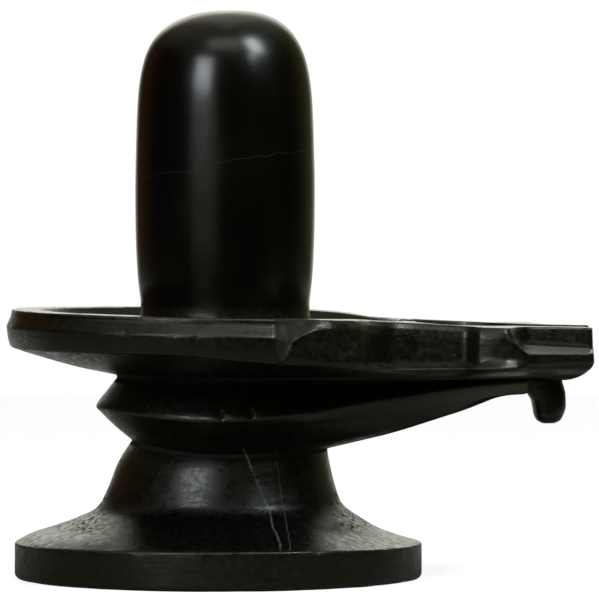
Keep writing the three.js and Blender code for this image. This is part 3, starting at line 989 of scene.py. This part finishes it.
def stone_roughness(tree, point, grain, masks):
    """Uneven on the carved stone, smoother where it is rubbed or polished, dull in the creases."""
    carved = calc(tree, "MULTIPLY_ADD", calc(tree, "SUBTRACT", grain["Blotches"], 0.5), 0.55, 0.34)
    carved = calc(tree, "MULTIPLY_ADD", masks["rubbed"], -0.16, carved)
    smear = noise(tree, stretched(tree, point, (1, 1, 0.4)), 0.014)
    polished = calc(tree, "MULTIPLY_ADD", calc(tree, "SUBTRACT", smear, 0.5), 0.2, 0.24)
    rough = mix_value(tree, masks["polished"], carved, polished)
    rough = calc(tree, "MULTIPLY_ADD", masks["wear_and_glint"], 0.3, rough)
    dull = calc(tree, "MAXIMUM", masks["crease_shade"], masks["pitted"])
    return calc(tree, "MULTIPLY_ADD", dull, 0.55, rough)


def stone_relief(tree, point, grain, masks):
    """File marks, crystals and pits, which are fainter where the stone is polished."""
    files = noise(tree, stretched(tree, point, (1, 1, 5)), 0.008, detail=4.0)
    height = calc(tree, "MULTIPLY_ADD", files, 2.2, product(tree, grain["Fine"], 0.8))
    height = calc(tree, "MULTIPLY_ADD", grain["Pits"], -2.5, height)
    strength = mix_value(tree, masks["polished"], 0.5, 0.09)
    inputs = {"Height": height, "Distance": 0.00012, "Strength": strength}
    return node(tree, "ShaderNodeBump", inputs).outputs["Normal"]


def black_stone():
    material, tree, shader = new_material("black_stone")
    point = node(tree, "ShaderNodeTexCoord").outputs["Object"]
    grain = node(tree, "ShaderNodeGroup", {"Point": point}, node_tree=stone_grain()).outputs
    masks = stone_masks(tree, point, grain)
    tree.links.new(stone_colour(tree, point, grain, masks), shader.inputs["Base Color"])
    tree.links.new(stone_roughness(tree, point, grain, masks), shader.inputs["Roughness"])
    tree.links.new(stone_relief(tree, point, grain, masks), shader.inputs["Normal"])
    shader.inputs["IOR"].default_value = 1.4
    shader.inputs["Specular Tint"].default_value = (1, 1, 0.84, 1)
    return material


# ---- the stone ----------------------------------------------------------------------------

groove = groove_level(0)
groove_top = groove_level(GROOVE_WIDTH)
plate = plate_levels(groove_top)
rings = refine([
    *foot_levels(),
    *pedestal_levels(),
    *hull_levels(),
    (groove, 0.5, 1),
    (groove_top, 0.5, 3),
    *plate,
    *trough_levels(plate[-1][0]),
    *basin_levels(),
    *shaft_levels(),
])
rings = [far_dip(ring) for ring in rings]
stone = skin("stone", rings, (0, 0, 0), (SHAFT_CENTRE + SHAFT_LEAN, 0, HEIGHT))
knob = knob_rings()
join(stone, skin("knob", knob, knob[0].mean(axis=0), knob[-1].mean(axis=0)))
strike(stone, [*RIDGE_CRACKS, *RIM_CHIPS, *FOOT_NICKS])
carve(stone, black_stone())
keep_inside(stone, solid_box)
stone.data.shade_smooth()
mark_edges(stone)
mark_notch(stone)

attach(stone, "root")
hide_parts("shiva_lingam")


# ---- floor, light and camera --------------------------------------------------------------

# The floor's edges in millimetres. It lies just under the foot, so that the two don't flicker.
FLOOR_SIDE, FLOOR_FRONT, FLOOR_BACK, FLOOR_HEIGHT = 1500, -300, 1500, -0.1

# Where the lamps point, in metres.
LAMP_AIM = Vector((0.0024, 0, 0.15))

# The camera's place and aim in metres, its sensor's width in millimetres, and its focal length
# and frame's width in pixels.
CAMERA_PLACE, CAMERA_AIM = Vector((0.0287, -1.943, 0.1466)), Vector((0.0287, 0, 0.0992))
SENSOR_WIDTH, FOCAL_PIXELS, FRAME_PIXELS = 36, 5500, 599


def pale_floor():
    """Pale mottled paper to the camera, and dimmer where it lights the stone."""
    material, tree, shader = new_material("pale_floor")
    point = node(tree, "ShaderNodeTexCoord").outputs["Object"]
    x, y, _ = axes(tree, point)
    seen = node(tree, "ShaderNodeLightPath").outputs["Is Camera Ray"]
    mottle = ramp(tree, noise(tree, point, 0.02, detail=6.0), 0.35, 0.65)
    paper = mix_colour(tree, mottle, (0.30, 0.30, 0.31, 1), (0.36, 0.36, 0.37, 1))
    near = ramp(tree, calc(tree, "ABSOLUTE", x), 0.35, 0.9, 1.0, 0.0)
    bounce = mix_colour(tree, near, (0.04, 0.04, 0.03, 1), (0.23, 0.226, 0.184, 1))
    tree.links.new(mix_colour(tree, seen, bounce, paper), shader.inputs["Base Color"])
    shader.inputs["Roughness"].default_value = 0.8
    behind = product(tree, ramp(tree, y, 0.06, 0.3, 0.0, 0.45), near)
    tree.links.new(mix_value(tree, seen, behind, 0.8), shader.inputs["Emission Strength"])
    shader.inputs["Emission Color"].default_value = (0.97, 0.99, 1.0, 1)
    return material


def studio_world():
    """White behind the stone, pale above, dim and warm at the sides, and white to the camera."""
    world = bpy.data.worlds.new("studio")
    world.use_nodes = True
    bpy.context.scene.world = world
    tree = world.node_tree
    way = node(tree, "ShaderNodeTexCoord").outputs["Generated"]
    rise = axes(tree, way)["Z"]
    level = axes(tree, vector_calc(tree, "NORMALIZE", stretched(tree, way, (1, 1, 0))))
    behind = product(
        tree,
        ramp(tree, level["Y"], 0.88, 0.992),
        ramp(tree, rise, 0.08, 0.35, 1.0, 2.2),
        ramp(tree, rise, 0.35, 0.6, 1.0, 0.25),
    )
    overhead = ramp(tree, rise, 0.4, 0.95, 0.0, 0.35)
    light = calc(tree, "ADD", calc(tree, "ADD", behind, overhead), 0.01)
    sides = mix_colour(
        tree, ramp(tree, level["X"], -0.3, 0.3), (0.165, 0.062, 0.017, 1), (0.16, 0.16, 0.075, 1),
    )
    beside = calc(tree, "ADD", ramp(tree, level["X"], -0.4, -0.85), ramp(tree, level["X"], 0.15, 0.5))
    sides = scaled(tree, sides, product(tree, beside, ramp(tree, level["Y"], 0.1, 1.0)))
    light = vector_calc(tree, "MULTIPLY", vector_calc(tree, "ADD", sides, light), (1.0, 0.99, 0.88))
    seen = node(tree, "ShaderNodeLightPath").outputs["Is Camera Ray"]
    light = mix_colour(tree, seen, light, (1, 1, 1, 1))
    tree.links.new(light, tree.nodes["Background"].inputs["Color"])


def softbox(name, azimuth, elevation, distance, width, height, radiance, colour=(1, 1, 1)):
    """A soft panel, with its azimuth measured from the camera's side towards +X."""
    lamp = bpy.data.lights.new(name, "AREA")
    lamp.shape, lamp.size, lamp.size_y = "RECTANGLE", width, height
    lamp.energy, lamp.color = radiance * math.pi * width * height, colour
    panel = bpy.data.objects.new(name, lamp)
    bpy.context.scene.collection.objects.link(panel)
    turn, lift = math.radians(azimuth), math.radians(elevation)
    way = Vector((math.sin(turn) * math.cos(lift), -math.cos(turn) * math.cos(lift), math.sin(lift)))
    panel.location = LAMP_AIM + way * distance
    panel.rotation_euler = way.to_track_quat("Z", "Y").to_euler()
    panel.visible_camera = False


floor_corners = [
    (-FLOOR_SIDE, FLOOR_FRONT, FLOOR_HEIGHT),
    (FLOOR_SIDE, FLOOR_FRONT, FLOOR_HEIGHT),
    (FLOOR_SIDE, FLOOR_BACK, FLOOR_HEIGHT),
    (-FLOOR_SIDE, FLOOR_BACK, FLOOR_HEIGHT),
]
floor = make_mesh("floor", floor_corners, [(0, 1, 2, 3)])
floor.data.materials.append(pale_floor())
studio_world()
softbox("key_strip", -29.5, 23, 0.9, 0.31, 0.32, 12.0, colour=(0.95, 1.0, 1.26))
softbox("low_strip", -26, 3, 1.1, 0.62, 0.42, 0.42, colour=(1.0, 1.0, 0.76))
softbox("high_panel", -3, 58, 0.9, 0.56, 0.34, 1.8)
softbox("side_panel", 57, 49, 0.9, 0.25, 0.33, 20.5, colour=(0.92, 1.04, 1.18))
softbox("side_bar", 45, 34, 0.9, 0.17, 0.055, 15.0, colour=(0.92, 1.04, 1.18))

camera = bpy.data.objects.new("camera", bpy.data.cameras.new("camera"))
bpy.context.scene.collection.objects.link(camera)
camera.location = CAMERA_PLACE
camera.rotation_euler = (CAMERA_AIM - CAMERA_PLACE).to_track_quat("-Z", "Y").to_euler()
camera.data.sensor_width = SENSOR_WIDTH
camera.data.lens = SENSOR_WIDTH * FOCAL_PIXELS / FRAME_PIXELS
camera.data.clip_end = 10
bpy.context.scene.camera = camera
bpy.context.scene.view_settings.view_transform = "Standard"
